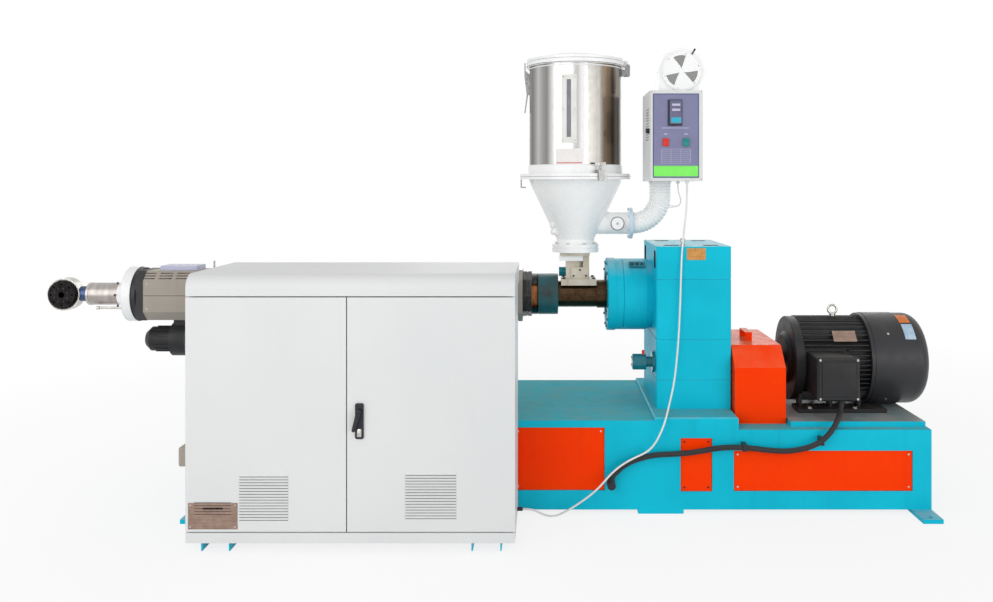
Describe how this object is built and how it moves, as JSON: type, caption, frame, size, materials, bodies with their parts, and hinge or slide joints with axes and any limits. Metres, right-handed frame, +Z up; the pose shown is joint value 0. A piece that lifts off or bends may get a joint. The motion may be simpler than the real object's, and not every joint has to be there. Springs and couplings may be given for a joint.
{
  "type": "plastic extruder",
  "caption": "Single-screw plastic extruder with welded base, gearbox, finned motor, hopper dryer, covered barrel, die head and louvred control cabinet.",
  "frame": {"origin": "on the floor under the screw's axis, at the centre of the middle foot bar", "axes": "+X along the screw towards the motor, +Y towards the back, +Z up"},
  "size_m": [4.565, 1.513, 2.285],
  "materials": {
    "teal_enamel": "semi-gloss enamel on welded steel and cast iron",
    "orange_enamel": "gloss enamel on folded sheet steel",
    "beige_enamel": "satin enamel on folded sheet steel",
    "white_enamel": "gloss enamel on spun and folded sheet steel",
    "cabinet_enamel": "fine powder coat on sheet steel",
    "black_enamel": "satin black enamel",
    "motor_iron": "painted cast iron, satin",
    "oiled_steel": "oiled turned steel with worn paint",
    "dark_steel": "dark turned steel",
    "blackened_steel": "blackened steel",
    "turned_steel": "bright turned steel",
    "polished_steel": "polished stainless sheet",
    "clear_glass": "clear sight glass in its frame",
    "panel_film": "printed panel film",
    "moulded_plastic": "moulded plastic",
    "white_sheath": "white cable sheath",
    "black_sheath": "black conduit sheath"
  },
  "bodies": {
    "machine": {"base_frame": "teal_enamel", "foot_bars": "teal_enamel", "front_panels": "orange_enamel", "back_panels": "orange_enamel", "gearbox": "teal_enamel", "output_housing": "teal_enamel", "oil_pump": "teal_enamel", "feed_section": "oiled_steel", "cooling_jacket": "oiled_steel", "faceted_collar": "dark_steel", "barrel_cover": "beige_enamel", "barrel_supports": "teal_enamel", "end_ring": "white_enamel", "adapter": "turned_steel", "die_head": "blackened_steel", "barrel_blower": "black_enamel", "feed_throat": "beige_enamel", "slide_gate": "white_enamel", "hopper_cone": "white_enamel", "hopper_drum": "polished_steel", "sight_glass": "clear_glass", "hopper_hardware": "turned_steel", "air_inlet": "white_enamel", "air_elbow": "white_enamel", "dryer_box": "white_enamel", "dryer_panel": "panel_film", "dryer_controls": "moulded_plastic", "dryer_blower": "white_enamel", "coupling_guard": "orange_enamel", "coupling": "dark_steel", "motor_body": "motor_iron", "motor_cowl": "black_enamel", "terminal_box": "motor_iron", "motor_eye": "turned_steel", "cabinet_plinth": "cabinet_enamel", "cabinet_left_side": "cabinet_enamel", "cabinet_right_side": "cabinet_enamel", "cabinet_back": "cabinet_enamel", "cabinet_hood": "cabinet_enamel", "cabinet_channels": "teal_enamel", "side_box": "beige_enamel", "cable_fittings": "moulded_plastic", "dryer_cable": "white_sheath", "motor_conduit": "black_sheath", "sensor_lead": "white_sheath"},
    "left_door": {"left_door": "cabinet_enamel"},
    "right_door": {"right_door": "cabinet_enamel", "handle_plate": "moulded_plastic"},
    "door_lever": {"door_lever": "blackened_steel"},
    "hopper_lid": {"hopper_lid": "white_enamel"}
  },
  "joints": [
    {"name": "left_door_hinge", "type": "hinge", "parent": "machine", "child": "left_door", "pos_m": [-2.089, -0.895, 0.59], "axis": [0, 0, -1], "range_deg": [0, 105]},
    {"name": "right_door_hinge", "type": "hinge", "parent": "machine", "child": "right_door", "pos_m": [-0.69, -0.895, 0.59], "axis": [0, 0, 1], "range_deg": [0, 105]},
    {"name": "door_lever_pivot", "type": "hinge", "parent": "right_door", "child": "door_lever", "pos_m": [-1.349, -0.922, 0.606], "axis": [0, -1, 0], "range_deg": [0, 106]},
    {"name": "hopper_lid_hinge", "type": "hinge", "parent": "machine", "child": "hopper_lid", "pos_m": [-0.118, 0, 2.199], "axis": [0, 1, 0], "range_deg": [0, 90]}
  ]
}
